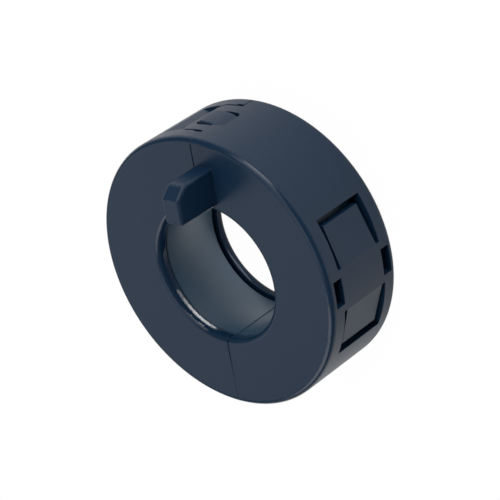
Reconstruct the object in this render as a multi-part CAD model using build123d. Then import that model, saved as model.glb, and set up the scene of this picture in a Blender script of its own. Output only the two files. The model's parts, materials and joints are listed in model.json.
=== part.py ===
from build123d import *
import os
from math import cos, radians, sin, sqrt

os.makedirs("parts", exist_ok=True)

# A split ferrite ring in a hinged plastic case that clips round a cable.
# Z is the cable's axis, with the origin half way along it. +Z is the front face, which carries the tab,
# and the ring rests on its rear face. The latch is at +Y, the hinge at -Y, and the right half at +X.

# The case, in mm
case_diameter = 51.0
case_width = 17.8
cable_hole = 25.4
outer_wall = 1.8
face_wall = 1.9
edge_round = 1.0
lip_round = 1.0

# The gap between the halves. It tapers off between two shares of the way from the hole to the hinge,
# and a land at the front edge of the outer wall closes it too.
parting_gap = 0.2
closed_gap = 0.04
closing_start = 0.15
closing_end = 0.6

# The ferrite core inside it
lip_cover = 0.4
core_spring_space = 1.4
core_end_play = 0.45
core_joint_gap = 0.04
core_chamfer = 0.4
joint_chamfer = 0.15

# Ribs inside the outer wall that centre each core half
rib_angle = 55.0
rib_width = 1.4
rib_play = 0.1

# Spring fingers in the outer wall: a plate in the middle, one finger up and one finger down
plate_half = 3.8
finger_length = 7.2
finger_width = 9.8
finger_taper = 0.3
finger_thickness = 1.1
finger_drop = 0.45
finger_tip_gap = 1.5
finger_side_gap = 0.8
foot_radius = 0.7
foot_setback = 1.5
foot_play = 0.05
finger_root = 0.8

# Small square holes in front of and behind the plate
hole_length = 4.9
hole_width = 2.15
hole_edge = 1.25
hole_depth = 4.5

# The latch: a loop on the right half snaps over a rounded hook on the left half
loop_reach = 4.8
loop_width = 10.5
loop_corner = 1.2
loop_thickness = 1.1
catch_bar = 0.85
loop_slit = 0.38
loop_floor_gap = 0.1
root_relief_length = 1.5
root_relief_width = 0.35
opening_corner = 1.2
hook_width = 5.2
hook_front_gap = 0.5
hook_rear_gap = 0.12
hook_end_gap = 0.15
hook_play = 0.12
hook_tongue = 1.95
hook_rise = 0.4
hook_level = 0.45
hook_fall = 0.6
hook_depth = 2.2
hook_round = 0.4
boss_play = 0.35
lift_recess = 4.1

# The hinge: a bar between two ears on the left half, held in a snap knuckle on the right half
hinge_bar = 1.9
hinge_running_gap = 0.05
knuckle_diameter = 4.0
knuckle_width = 4.8
ear_width = 1.9
hinge_side_gap = 0.15
hinge_relief = 0.3
snap_mouth = 1.5
blend_angle = 50.0

# The tab on the front face of the right half, beside the parting line
tab_setback = 0.05
tab_height = 6.85
tab_thickness = 3.8
tab_length = 9.1
tab_draft = 0.15
tab_chamfer_height = 1.9
tab_chamfer_length = 2.2
tab_nose_round = 1.3
tab_brow_round = 1.8
tab_round = 0.5

# Sizes that follow from the ones above
case_r = case_diameter / 2
lip_r = cable_hole / 2
half_width = case_width / 2
cavity_r = case_r - outer_wall
cavity_half = half_width - face_wall
half_gap = parting_gap / 2
core_inner_r = lip_r + lip_cover
core_outer_r = cavity_r - core_spring_space
core_half = cavity_half - core_end_play
loop_inner_r = case_r - loop_thickness
latch_floor_r = loop_inner_r - loop_floor_gap
loop_half = loop_width / 2
hook_half = hook_width / 2
hook_corner = opening_corner - hook_rear_gap
pocket_half = loop_half + loop_slit
root_half = pocket_half + root_relief_width
hinge_y = -case_r
knuckle_r = knuckle_diameter / 2
knuckle_half = knuckle_width / 2
ear_inner = knuckle_half + hinge_side_gap
ear_outer = ear_inner + ear_width
relief_r = knuckle_r + hinge_relief
tab_start = lip_r + lip_round + tab_setback
reach = case_r + knuckle_diameter


def block(x, y, z):
    """A box from its limits along each axis."""
    size = [high - low for low, high in (x, y, z)]
    middle = [(high + low) / 2 for low, high in (x, y, z)]
    return Pos(*middle) * Box(*size)


def prism(points, z):
    """A polygon in the XY plane, extruded between two heights."""
    outline = make_face(Polyline(*points, close=True))
    return Pos(0, 0, z[0]) * extrude(outline, z[1] - z[0])


def on_circle(radius, x):
    """The height of a circle about the cable's axis, at a distance x from the middle."""
    return sqrt(radius**2 - x**2)


def ring(inner, outer, half_length):
    """A plain ring about the cable's axis."""
    return Cylinder(outer, 2 * half_length) - Cylinder(inner, 3 * half_length)


def case_side(sign):
    """Everything on one side of the parting plane, less half of the gap between the case halves."""
    gap, closed, far = sign * half_gap, sign * closed_gap / 2, sign * 2 * reach
    start = lip_r + closing_start * (case_r - lip_r)
    end = lip_r + closing_end * (case_r - lip_r)
    parting = [(gap, 2 * reach), (gap, -start), (closed, -end), (closed, -2 * reach)]
    return prism(parting + [(far, -2 * reach), (far, 2 * reach)], (-2 * reach, 2 * reach))


def case_ring():
    """Outer wall, two flat faces and two rounded lips, as one turned section."""
    outline = make_face(
        Polyline(
            (lip_r, -half_width),
            (case_r, -half_width),
            (case_r, half_width),
            (lip_r, half_width),
            (lip_r, cavity_half),
            (cavity_r, cavity_half),
            (cavity_r, -cavity_half),
            (lip_r, -cavity_half),
            close=True,
        )
    )
    for at_radius, size in ((case_r, edge_round), (lip_r, lip_round)):
        corners = outline.vertices().filter_by(
            lambda v: abs(v.X - at_radius) < 0.01 and abs(v.Y) > half_width - 0.01
        )
        outline = fillet(corners, size)
    return revolve(Plane.XZ * outline, Axis.Z)


def spring_window():
    """What is cut from the right outer wall: two slots that free the fingers, and two square holes."""
    slot_half = finger_width / 2 + finger_side_gap
    slot_end = plate_half + finger_length + finger_tip_gap
    deep = (core_outer_r - lip_r, reach)
    cut = block(deep, (plate_half, slot_end), (-slot_half, slot_half))
    cut += block(deep, (-slot_end, -plate_half), (-slot_half, slot_half))
    cut &= ring(core_outer_r + boss_play, reach, half_width)
    hole_top = half_width - hole_edge
    for low, high in ((hole_top - hole_width, hole_top), (-hole_top, hole_width - hole_top)):
        cut += block((case_r - hole_depth, reach), (-hole_length / 2, hole_length / 2), (low, high))
    return cut


def spring_finger():
    """The upper finger on the right: a tapered leaf that dips inwards, with a rounded foot on the core."""
    tip_y = plate_half + finger_length
    root = (on_circle(case_r, plate_half), plate_half)
    tip = (on_circle(case_r - finger_drop, tip_y), tip_y)
    half = finger_width / 2
    leaf = prism(
        [
            root,
            tip,
            (tip[0] - finger_thickness, tip_y),
            (root[0] - finger_thickness, plate_half - finger_root),
            (root[0] - finger_thickness / 4, plate_half - finger_root),
        ],
        (-half, half),
    )
    foot_y = tip_y - foot_setback
    foot_x = on_circle(core_outer_r + foot_play + foot_radius, foot_y)
    top = root[0] + (tip[0] - root[0]) * (foot_y - plate_half) / finger_length
    foot = Pos(foot_x, foot_y) * Cylinder(foot_radius, finger_width)
    stem = (foot_x, top - finger_thickness / 2)
    foot += block(stem, (foot_y - foot_radius, foot_y + foot_radius), (-half, half))
    start = plate_half - finger_root
    plan = [(start, half), (tip_y, half - finger_taper), (tip_y, finger_taper - half), (start, -half)]
    return (leaf + foot) & extrude(Plane.YZ * make_face(Polyline(*plan, close=True)), reach)


def right_shell():
    """The right half of the ring with its spring window, closing land and core ribs."""
    whole = case_ring()
    shell = whole & case_side(1)
    shell -= spring_window()
    finger = spring_finger()
    shell += finger
    shell += mirror(finger, about=Plane.XZ)
    land = block((closed_gap / 2, parting_gap), (case_r - edge_round, reach), (root_half, half_width))
    shell += land & whole
    rib = block((core_outer_r + rib_play, cavity_r + outer_wall / 4), (-rib_width / 2, rib_width / 2),
                (-cavity_half, cavity_half))
    for angle in (rib_angle, -rib_angle):
        shell += Rot(0, 0, angle) * rib
    return shell


def hinge_lobe(sign, z):
    """A hinge eye with a flat blend up to the wall on its own side of the parting plane."""
    a = radians(blend_angle)
    touch = (sign * knuckle_r * cos(a), hinge_y - knuckle_r * sin(a))
    run = knuckle_r * sin(a) / cos(a)
    meet = (touch[0] + sign * run * sin(a), touch[1] + run * cos(a))
    eye = Pos(0, hinge_y, (z[0] + z[1]) / 2) * Cylinder(knuckle_r, z[1] - z[0])
    blend = prism([(0, hinge_y), touch, meet, (meet[0], hinge_y + outer_wall / 2)], z)
    return eye + blend


def hinge_round(radius, z):
    """A cylinder on the hinge line."""
    return Pos(0, hinge_y, (z[0] + z[1]) / 2) * Cylinder(radius, z[1] - z[0])


def rounded_block(x, z, corner):
    """A tall block at the latch, with its four corners rounded as seen from outside."""
    shape = block(x, (0, reach), z)
    return fillet(shape.edges().filter_by(Axis.Y), corner)


def left_of(x):
    """Everything on the latch side whose x is less than a limit."""
    return block((-reach, x), (0, reach), (-reach, reach))


def latch_loop():
    """The loop that springs over the hook: two side bars and a catch bar."""
    loop = rounded_block((-loop_reach, loop_reach), (-loop_half, loop_half), loop_corner)
    window = (-hook_half - hook_rear_gap, hook_half + hook_front_gap)
    loop -= rounded_block((catch_bar - loop_reach, loop_reach), window, opening_corner)
    return loop & ring(loop_inner_r, case_r, half_width) & left_of(half_gap)


def hook_notch():
    """The room in the right half for the hook's tongue."""
    half = hook_half + hook_rear_gap
    return rounded_block((-hook_tongue, hook_tongue + hook_end_gap), (-half, half), opening_corner)


def latch_hook():
    """The rounded hook that the catch bar snaps behind, with a tongue across the parting plane."""
    crest_x = catch_bar - loop_reach + hook_play
    crest = (crest_x, on_circle(case_r + hook_rise, crest_x))
    level = (-hook_level, on_circle(case_r, hook_level))
    toe = (hook_tongue, on_circle(case_r - hook_fall, hook_tongue))
    base = case_r - hook_depth
    back = ThreePointArc(crest, level, toe)
    sides = Polyline(toe, (hook_tongue, base), (crest_x, base), crest)
    hook = extrude(make_face(back + sides), hook_half, both=True)
    hook = fillet(hook.edges().filter_by(Axis.Y), hook_corner)
    return fillet(hook.faces().sort_by(Axis.Y)[-1].edges(), hook_round)


def latch_boss():
    """Extra wall inside the left half under the latch, since the loop's pocket takes wall away."""
    left = (-loop_reach - loop_slit - lift_recess, -half_gap)
    band = ring(core_outer_r + boss_play, cavity_r + outer_wall / 4, cavity_half)
    return band & block(left, (0, reach), (-cavity_half, cavity_half))


def latch_pocket():
    """The loop's pocket, wider at its roots, and the sloping recess that lets a tool lift the loop."""
    edge = -loop_reach - loop_slit
    corner = loop_corner + loop_slit
    pocket = rounded_block((edge, -edge), (-pocket_half, pocket_half), corner) & left_of(half_gap)
    pocket += block((-root_relief_length, half_gap), (0, reach), (-root_half, root_half))
    start = edge - lift_recess
    pocket += prism(
        [
            (edge + corner, cavity_r),
            (edge + corner, reach),
            (start, reach),
            (start, on_circle(case_r, start)),
            (edge, on_circle(latch_floor_r, edge)),
            (edge, cavity_r),
        ],
        (-loop_half, loop_half),
    )
    return pocket & ring(latch_floor_r, reach, half_width)


def tab():
    """A grip block, shaped by its side profile and its drafted plan."""
    base = half_width - face_wall / 2
    top = half_width + tab_length
    high = tab_start + tab_height
    side = make_face(
        Polyline(
            (tab_start, base),
            (tab_start + tab_draft, top),
            (high - tab_draft - tab_chamfer_height, top),
            (high - tab_draft, top - tab_chamfer_length),
            (high, base),
            close=True,
        )
    )
    nose = side.vertices().filter_by(lambda v: v.Y > top - 0.01).sort_by(Axis.X)[0]
    brow = side.vertices().filter_by(lambda v: abs(v.Y - top + tab_chamfer_length) < 0.01)
    side = fillet(nose, tab_nose_round)
    side = fillet(brow, tab_brow_round)
    plan = make_face(
        Polyline(
            (half_gap, base),
            (half_gap + tab_thickness, base),
            (half_gap + tab_thickness - tab_draft, top),
            (half_gap, top),
            close=True,
        )
    )
    along_x = extrude(Plane.YZ * side, reach)
    across_y = extrude(Plane.XZ * plan, reach, both=True)
    shape = along_x & across_y
    loose = shape.edges().filter_by(lambda e: (e @ 0.5).Z > half_width + tab_round)
    return fillet(loose, tab_round)


def right_case():
    """The moving half: shell, snap knuckle, room for the hook, and the tab."""
    shell = right_shell()
    room = (knuckle_half, ear_outer + hinge_side_gap)
    for span in (room, (-room[1], -room[0])):
        shell -= hinge_round(relief_r, span)
    span = (-knuckle_half, knuckle_half)
    shell += hinge_lobe(1, span)
    shell -= hinge_round(hinge_bar / 2 + hinge_running_gap, span)
    mouth = (-snap_mouth / 2, snap_mouth / 2)
    shell -= block(mouth, (hinge_y - 2 * knuckle_r, hinge_y), span)
    return shell - hook_notch() + tab()


def left_case():
    """The fixed half: shell, hinge ears with their bar, and the hook in its pocket."""
    shell = mirror(right_shell(), about=Plane.YZ)
    shell += latch_boss()
    shell -= latch_pocket()
    shell += latch_hook()
    shell -= hinge_round(relief_r, (-ear_inner, ear_inner))
    for span in ((ear_inner, ear_outer), (-ear_outer, -ear_inner)):
        shell += hinge_lobe(-1, span)
    return shell + hinge_round(hinge_bar / 2, (-ear_outer, ear_outer))


def core_half_ring(sign):
    """Half of the sintered ring, with chamfered rims and a ground joint face."""
    section = Rectangle(core_outer_r - core_inner_r, 2 * core_half)
    section = chamfer(section.vertices(), core_chamfer)
    outline = Pos((core_inner_r + core_outer_r) / 2, 0) * section
    near, far = sign * core_joint_gap / 2, sign * 2 * reach
    core = revolve(Plane.XZ * outline, Axis.Z) & block(sorted((near, far)), (-reach, reach), (-reach, reach))
    joint = core.faces().filter_by(Axis.X)
    return chamfer(joint.edges(), joint_chamfer)


pieces = {
    "left_case": left_case(),
    "right_case": right_case(),
    "latch_loop": latch_loop(),
    "left_core": core_half_ring(-1),
    "right_core": core_half_ring(1),
}
for name, piece in pieces.items():
    export_step(piece, f"parts/{name}.step")
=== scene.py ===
# %% [markdown]
# # Dressing a clip-on ferrite core
#
# The object is a ring that clips round a cable: two ferrite halves inside a hinged plastic case.
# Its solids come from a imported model, so this lesson doesn't build them again. It loads them as a fixed
# frame, gives every surface a finish, softens the moulded edges, and sets up floor, light and camera.
#
# Everything is in the model's own frame. Its origin is on the cable's axis, half way along the ring's
# width: Z runs along the cable, the latch is at +Y, the hinge at -Y, and the half that opens is at +X.
# Lengths are in metres, apart from the camera's lens and sensor, which Blender takes in millimetres.

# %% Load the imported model
import json
import math

import bmesh
import bpy
from mathutils import Matrix, Vector


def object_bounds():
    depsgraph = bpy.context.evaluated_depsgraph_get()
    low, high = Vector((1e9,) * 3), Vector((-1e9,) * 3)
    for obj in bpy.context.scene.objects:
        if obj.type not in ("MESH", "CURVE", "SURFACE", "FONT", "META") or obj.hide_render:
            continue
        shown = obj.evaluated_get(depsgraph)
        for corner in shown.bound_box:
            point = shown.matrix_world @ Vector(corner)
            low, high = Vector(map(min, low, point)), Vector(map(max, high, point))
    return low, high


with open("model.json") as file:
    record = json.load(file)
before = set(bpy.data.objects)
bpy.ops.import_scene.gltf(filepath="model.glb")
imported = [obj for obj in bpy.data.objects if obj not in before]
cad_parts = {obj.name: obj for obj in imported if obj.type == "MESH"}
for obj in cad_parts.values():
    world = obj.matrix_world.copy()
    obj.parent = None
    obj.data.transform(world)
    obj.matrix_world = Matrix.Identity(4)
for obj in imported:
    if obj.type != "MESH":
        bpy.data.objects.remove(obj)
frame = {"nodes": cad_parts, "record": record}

cad_box = [list(corner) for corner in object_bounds()]
MM = 0.001
HALF_WIDTH = -cad_box[0][2]
CASE_RADIUS = cad_box[1][0]
cable_hole = frame["record"]["mounts"][0]
LIP_RADIUS = cable_hole["dims"]["r_mm"] * MM
print("nodes:", sorted(frame["nodes"]))
print("radius of the case", CASE_RADIUS / MM, "mm and of the hole", LIP_RADIUS / MM, "mm")

# %% [markdown]
# ## The camera first
#
# The photograph was taken from in front of the tab face, above the latch and to the right, with the
# camera rolled, so the ring seems to stand on its edge. The place and the directions below were worked
# out from the ellipses that the rims make in the photo. A long lens keeps the perspective weak.
#
# Aiming the camera at the ring with a constraint would be shorter, but it would lose the roll. A camera
# looks along its own -Z with +Y up, so its rotation has the columns right, up and backwards.

# %% Camera
CAMERA_PLACE = Vector((242.2, 163.1, 250.8)) * MM
CAMERA_RIGHT = Vector((0.76131, -0.16222, -0.62776))
CAMERA_UP = Vector((-0.15964, 0.89149, -0.42397))
LENS, SENSOR = 159.08, 36.0
NEAREST, FARTHEST = 0.01, 20.0

camera_data = bpy.data.cameras.new("camera")
camera_data.lens = LENS
camera_data.sensor_width = SENSOR
camera_data.clip_start = NEAREST
camera_data.clip_end = FARTHEST
camera = bpy.data.objects.new("camera", camera_data)
columns = (CAMERA_RIGHT, CAMERA_UP, CAMERA_RIGHT.cross(CAMERA_UP))
camera.matrix_world = Matrix.Translation(CAMERA_PLACE) @ Matrix(columns).transposed().to_4x4()
bpy.context.scene.collection.objects.link(camera)
bpy.context.scene.camera = camera
print("camera at", [round(v, 4) for v in CAMERA_PLACE], "lens", LENS)

# %% [markdown]
# ## Shader sums written as Python
#
# A finish is a small network of nodes. Wiring each Math node by hand hides what it does, so a tiny class
# wraps a socket and lets `1 - mask * 0.5` add the nodes. One more method makes every other node from
# its type, its settings and its inputs. That is all the machinery the finishes need.

# %% A socket that can be used in sums
class Value:
    """What comes out of a node's socket. Numbers can be used in sums."""

    def __init__(self, finish, socket):
        self.finish = finish
        self.socket = socket

    def sum_with(self, operation, left, right):
        """A Math node on two numbers, of which either may come from a node."""
        settings = {"operation": operation}
        return self.finish.node("ShaderNodeMath", settings, {0: left, 1: right})

    def __add__(self, other):
        return self.sum_with("ADD", self, other)

    def __sub__(self, other):
        return self.sum_with("SUBTRACT", self, other)

    def __rsub__(self, other):
        return self.sum_with("SUBTRACT", other, self)

    def __mul__(self, other):
        return self.sum_with("MULTIPLY", self, other)

    def __pow__(self, other):
        return self.sum_with("POWER", self, other)

    __radd__ = __add__
    __rmul__ = __mul__


print("sums ready")

# %% A finish and its nodes
COLOR_A, COLOR_B, MIXED_COLOR = 6, 7, 2
ACROSS = (1.0, 1.0, 0.0)
ALONG = (0.0, 0.0, 1.0)
EVENLY = (1.0, 1.0, 1.0)


class Finish:
    """One material: a Principled shader that starts plain, and the nodes that then vary it."""

    def __init__(self, name, color, roughness, **fixed):
        self.material = bpy.data.materials.new(name)
        self.material.use_nodes = True
        self.tree = self.material.node_tree
        self.shader = self.tree.nodes["Principled BSDF"]
        self.shader.inputs["Base Color"].default_value = (*color, 1.0)
        self.shader.inputs["Roughness"].default_value = roughness
        for socket, value in fixed.items():
            self.shader.inputs[socket.replace("_", " ")].default_value = value
        self.place = self.node("ShaderNodeTexCoord", output="Object")

    def feed(self, socket, value):
        """Link a value to a socket, or set the socket to a plain number, colour or vector."""
        if isinstance(value, Value):
            self.tree.links.new(value.socket, socket)
        else:
            socket.default_value = value

    def node(self, kind, settings=None, inputs=None, output=0):
        """Any node, from its type, its settings and what its sockets get, by name or by number."""
        made = self.tree.nodes.new(kind)
        for name, value in (settings or {}).items():
            setattr(made, name, value)
        for name, value in (inputs or {}).items():
            self.feed(made.inputs[name], value)
        return Value(self, made.outputs[output])

    def noise(self, size, detail, stretch=EVENLY):
        """Smooth noise with features about size metres across."""
        where = self.node("ShaderNodeMapping", inputs={"Vector": self.place, "Scale": stretch})
        inputs = {"Vector": where, "Scale": 1.0 / size, "Detail": detail}
        return self.node("ShaderNodeTexNoise", inputs=inputs)

    def distance(self, axes):
        """Distance in metres from the middle, counting only the axes whose scale is 1."""
        where = self.node("ShaderNodeMapping", inputs={"Vector": self.place, "Scale": axes})
        return self.node("ShaderNodeVectorMath", {"operation": "LENGTH"}, {0: where}, "Value")

    def ramp(self, value, start, end):
        """0 at the start value and 1 at the end value, and held there beyond both."""
        inputs = {"Value": value, "From Min": start, "From Max": end}
        return self.node("ShaderNodeMapRange", {"clamp": True}, inputs)

    def between(self, mask, low, high):
        """The mask's 0 to 1 stretched to run from low to high."""
        return mask * (high - low) + low

    def colors(self, mask, first, second):
        """First colour where the mask is 0, second where it is 1."""
        inputs = {"Factor": mask, COLOR_A: (*first, 1.0), COLOR_B: (*second, 1.0)}
        return self.node("ShaderNodeMix", {"data_type": "RGBA"}, inputs, MIXED_COLOR)

    def bump(self, height, depth, strength, **more):
        """Relief that is depth metres high where the height is 1."""
        inputs = {"Height": height, "Distance": depth, "Strength": strength, **more}
        return self.node("ShaderNodeBump", inputs=inputs)

    def use(self, socket, value):
        """Let a value drive the shader in place of its plain number or colour."""
        self.feed(self.shader.inputs[socket], value)


print("finish tools ready")

# %% [markdown]
# ## Moulded plastic
#
# The case is dark polyamide with a blue-grey cast under studio light. A steel mould with a fine
# spark-eroded skin leaves it satin: no mirror highlights, but a clear sheen along every rounded edge.
# Three things break up a flat colour here: a very fine grain in the relief, broad faint changes of
# sheen where the plastic cooled at different speeds, and a trace of paler dust in the colour.
#
# An image of real plastic would need a flat map of each piece, and it would repeat. Noise on the
# object's own coordinates needs no map, never repeats, and runs on from one half to the other.

# %% Colour of the case
CLEAN_PLASTIC, DUSTY_PLASTIC = (0.0065, 0.030, 0.072), (0.012, 0.039, 0.083)
DUST_SIZE, DUST_DETAIL = 1.1 * MM, 4.0
DUST_THINNING = 3.0

plastic = Finish("case_plastic", (0.007, 0.031, 0.073), 0.3, IOR=1.5, Specular_IOR_Level=0.42)
dust = plastic.noise(DUST_SIZE, DUST_DETAIL) ** DUST_THINNING
plastic.use("Base Color", plastic.colors(dust, CLEAN_PLASTIC, DUSTY_PLASTIC))
print("case plastic:", len(plastic.tree.nodes), "nodes for the colour")

# %% [markdown]
# ## Where the plastic is shinier
#
# The lips of the hole are polished, because the cable slides over them, and they have no grain. The
# outer rims are a little worn by handling. Both places are rings about the Z axis, so two distances find
# them: how far a point is from that axis, and how far along it. A mask painted by hand would do the
# same, but this one follows the frame's sizes.
#
# The Bevel node rounds the sharp edges of slots and windows in the shading alone, by the radius that a
# mould's corners have. The big roundings of the rims and the lips are real ones, in the solids.

# %% Sheen of the case
GRAIN_SIZE, GRAIN_DETAIL = 0.22 * MM, 3.0
COOLING_SIZE, COOLING_DETAIL = 9 * MM, 1.0
SMOOTHER, ROUGHER = 0.27, 0.35
GRAIN_ROUGHENS = 0.03
LIP_POLISH, RIM_POLISH = 0.85, 0.4
LIP_FADE = (0.9 * MM, 0.2 * MM)
RIM_FADE = (1.1 * MM, 0.8 * MM)

grain = plastic.noise(GRAIN_SIZE, GRAIN_DETAIL)
cooling = plastic.noise(COOLING_SIZE, COOLING_DETAIL)
satin = plastic.between(cooling, SMOOTHER, ROUGHER) + grain * GRAIN_ROUGHENS
radius = plastic.distance(ACROSS)
height = plastic.distance(ALONG)
lip = plastic.ramp(radius - LIP_RADIUS, *LIP_FADE)
rim = plastic.ramp(CASE_RADIUS - radius, *RIM_FADE) * plastic.ramp(HALF_WIDTH - height, *RIM_FADE)
polish = lip * LIP_POLISH + rim * RIM_POLISH
plastic.use("Roughness", satin * (1.0 - polish))
print("polish begins", LIP_FADE[0] / MM, "mm from the lips and", RIM_FADE[0] / MM, "mm from the rims")

# %% Relief of the case
EDGE_RADIUS, EDGE_SAMPLES = 0.16 * MM, 4
GRAIN_DEPTH, GRAIN_STRENGTH = 0.004 * MM, 0.5

soft_edge = plastic.node("ShaderNodeBevel", {"samples": EDGE_SAMPLES}, {"Radius": EDGE_RADIUS})
relief = plastic.bump(grain * (1.0 - lip), GRAIN_DEPTH, GRAIN_STRENGTH, Normal=soft_edge)
plastic.use("Normal", relief)
print("case plastic:", len(plastic.tree.nodes), "nodes in all")

# %% [markdown]
# ## Ferrite
#
# Ferrite is a sintered ceramic: dark grey, dense and slightly shiny where it was pressed against the die.
# Under this light it has the same blue cast as the case. The die leaves faint straight marks along the
# hole, and the fired grains leave tiny pits and specks. A noise that is stretched along Z gives the
# marks, and a fine one gives the specks. Both could be colour alone, but here they go into the relief
# too, so that the marks look pressed in and not painted on.

# %% Ferrite
DARK_FERRITE, PALE_FERRITE = (0.011, 0.056, 0.108), (0.025, 0.081, 0.144)
MARK_SIZE, SPECK_SIZE, FERRITE_DETAIL = 0.5 * MM, 0.16 * MM, 2.0
STRETCHED_ALONG = (1.0, 1.0, 0.06)
MARK_SHARE = 0.6
PRESSED, GRAINY = 0.28, 0.46
FERRITE_DEPTH, FERRITE_STRENGTH = 0.012 * MM, 0.6

ferrite = Finish("ferrite", (0.019, 0.068, 0.125), 0.36, IOR=1.5, Specular_IOR_Level=0.45)
marks = ferrite.noise(MARK_SIZE, FERRITE_DETAIL, STRETCHED_ALONG)
specks = ferrite.noise(SPECK_SIZE, FERRITE_DETAIL)
tint = marks * MARK_SHARE + specks * (1.0 - MARK_SHARE)
ferrite.use("Base Color", ferrite.colors(tint, DARK_FERRITE, PALE_FERRITE))
ferrite.use("Roughness", ferrite.between(specks, PRESSED, GRAINY))
ferrite.use("Normal", ferrite.bump(tint, FERRITE_DEPTH, FERRITE_STRENGTH))
print("ferrite:", len(ferrite.tree.nodes), "nodes")

# %% [markdown]
# ## Putting the finishes on
#
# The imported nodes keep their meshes. Only their material slots change. The latch loop is moulded with
# the case, so it has the same plastic.

# %% Finish each node
finishes = {
    "left_case": plastic,
    "right_case": plastic,
    "latch_loop": plastic,
    "left_core": ferrite,
    "right_core": ferrite,
}
for name, finish in finishes.items():
    mesh = frame["nodes"][name].data
    mesh.materials.clear()
    mesh.materials.append(finish.material)
    print(name, len(mesh.polygons), "faces")

# %% [markdown]
# ## Floor
#
# The photograph has a plain white ground with hardly a shadow. A diffuse floor under soft light would come
# out grey, so the camera sees most of it as plain white light, and the rest takes the object's shadow.
# Glossy rays see part of that white too, because the shiny plastic mirrors the ground. Within the hole
# that share is small and lamps take its place, so that most of the polished lip stays dark.

# %% White ground
WHITE_GLOW = 1.03
SEEN_SHARE = 0.95
MIRRORED_SHARE, MIRRORED_IN_HOLE = 0.42, 0.05
HOLE_FADE = (-2.0 * MM, 0.0)

ground = Finish("ground", (0.80, 0.80, 0.80), 0.9)
outside = ground.ramp(ground.distance(ACROSS) - LIP_RADIUS, *HOLE_FADE)
seen = ground.node("ShaderNodeLightPath", output="Is Camera Ray")
mirrored = ground.node("ShaderNodeLightPath", output="Is Glossy Ray")
mirrored_share = ground.between(outside, MIRRORED_IN_HOLE, MIRRORED_SHARE)
white_share = seen * SEEN_SHARE + mirrored * mirrored_share
diffuse = Value(ground, ground.shader.outputs[0])
glow = ground.node("ShaderNodeEmission", inputs={"Color": (1.0, 1.0, 1.0, 1.0), "Strength": WHITE_GLOW})
surface = ground.node("ShaderNodeMixShader", inputs={0: white_share, 1: diffuse, 2: glow})
ground.feed(ground.tree.nodes["Material Output"].inputs["Surface"], surface)
print("ground:", len(ground.tree.nodes), "nodes")

# %% [markdown]
# The floor lies a hair below the ring, because two faces in one plane flicker where they meet.

# %% Floor
FLOOR_SIDE = 6.0
FLOOR_GAP = 0.02 * MM

floor_level = cad_box[0][2] - FLOOR_GAP
floor_mesh = bmesh.new()
bmesh.ops.create_grid(floor_mesh, x_segments=1, y_segments=1, size=FLOOR_SIDE / 2)
bmesh.ops.translate(floor_mesh, verts=floor_mesh.verts, vec=(0.0, 0.0, floor_level))
floor_data = bpy.data.meshes.new("floor")
floor_mesh.to_mesh(floor_data)
floor_mesh.free()
floor = bpy.data.objects.new("floor", floor_data)
floor.data.materials.append(ground.material)
bpy.context.scene.collection.objects.link(floor)
print("floor at", round(floor_level / MM, 2), "mm")

# %% [markdown]
# ## Light
#
# A dim white world fills the shadows, and five square panels do the modelling. One strong lamp would be
# simpler, but it leaves hard edges that the photograph doesn't have. The small panel beyond the latch
# skims the top of the barrel. The four large ones hang over the latch, the hinge, the left side and the
# middle. They light the barrel and the front face evenly, and give soft edges.

# %% World
SKY_STRENGTH = 0.15

world = bpy.data.worlds.new("studio")
bpy.context.scene.world = world
world.use_nodes = True
sky = world.node_tree.nodes["Background"]
sky.inputs["Color"].default_value = (1.0, 1.0, 1.0, 1.0)
sky.inputs["Strength"].default_value = SKY_STRENGTH
print("sky", SKY_STRENGTH)

# %% Panels
PANEL_DISTANCE = 0.6
SMALL, LARGE = 0.25, 0.4


def area_lamp(name, shape, size, power):
    """An area lamp that still has to be placed and turned. It shines along its own -Z."""
    lamp = bpy.data.lights.new(name, "AREA")
    lamp.shape = shape
    lamp.size, lamp.size_y = size
    lamp.energy = power
    holder = bpy.data.objects.new(name, lamp)
    bpy.context.scene.collection.objects.link(holder)
    print(name, round(power, 6), "W")
    return holder


def panel(name, direction, side, power):
    """A square lamp that looks at the ring's middle from a direction."""
    holder = area_lamp(name, "SQUARE", (side, side), power)
    holder.location = Vector(direction).normalized() * PANEL_DISTANCE
    holder.rotation_euler = holder.location.to_track_quat("Z", "Y").to_euler()


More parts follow.
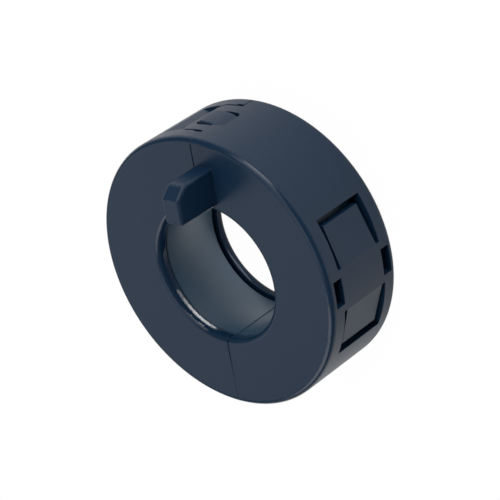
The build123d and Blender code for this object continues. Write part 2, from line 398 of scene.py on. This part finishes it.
panel("latch_panel", (0.25, 0.94, 0.21), SMALL, 0.9)
panel("high_panel", (0.13, 0.73, 0.67), LARGE, 0.75)
panel("hinge_panel", (-0.10, -0.74, 0.67), LARGE, 0.84)
panel("left_panel", (-0.70, -0.25, 0.67), LARGE, 0.29)
panel("top_panel", (0.0, 0.0, 1.0), LARGE, 0.42)

# %% [markdown]
# ## Light from inside the hole
#
# The photograph's white ground also shines up through the cable hole. One round lamp there lights the
# ferrite, and a curved strip of small ones is mirrored in the polished lip as a bright crescent.
#
# The strip's circle is where rays from the camera go when the lip's straight wall throws them down. The
# strip is brightest near its middle and fades towards both ends, as the crescent does. Bearings are in
# degrees from +X, and each lamp's long side lies along the circle.

# %% Round lamp in the hole
LAMP_HEIGHT = 0.5 * MM
ROUND_PLACE = (-5.2 * MM, -4.3 * MM)
ROUND_SIZE = (10 * MM, 10 * MM)
ROUND_POWER = 0.00038


def hole_lamp(name, place, size, turn, power):
    """An oval lamp just above the floor in the hole, facing up and unseen by the camera."""
    holder = area_lamp(name, "ELLIPSE", size, power)
    holder.location = (*place, floor_level + LAMP_HEIGHT)
    holder.rotation_euler = (math.pi, 0.0, turn)
    holder.visible_camera = False


hole_lamp("hole_lamp", ROUND_PLACE, ROUND_SIZE, 0.0, ROUND_POWER)

# %% Curved strip of lamps for the crescent
STRIP_X, STRIP_Y = -3.2 * MM, -2.3 * MM
STRIP_RADIUS = 11.0 * MM
STRIP_SIZE = (4.5 * MM, 0.8 * MM)
STRIP_POWER = 0.00012
STRIP_BEARINGS = range(30, 135, 15)
BRIGHTEST = 82
FADE = 45

for bearing in STRIP_BEARINGS:
    angle = math.radians(bearing)
    place = (STRIP_X + STRIP_RADIUS * math.cos(angle), STRIP_Y + STRIP_RADIUS * math.sin(angle))
    fade = math.exp(-(((bearing - BRIGHTEST) / FADE) ** 2))
    along_circle = angle - math.pi / 2
    hole_lamp(f"strip_lamp_{bearing}", place, STRIP_SIZE, along_circle, STRIP_POWER * fade)

# %% [markdown]
# ## View settings
#
# The Standard transform shows colours as they are written.

# %% Finish up
bpy.context.scene.view_settings.view_transform = "Standard"
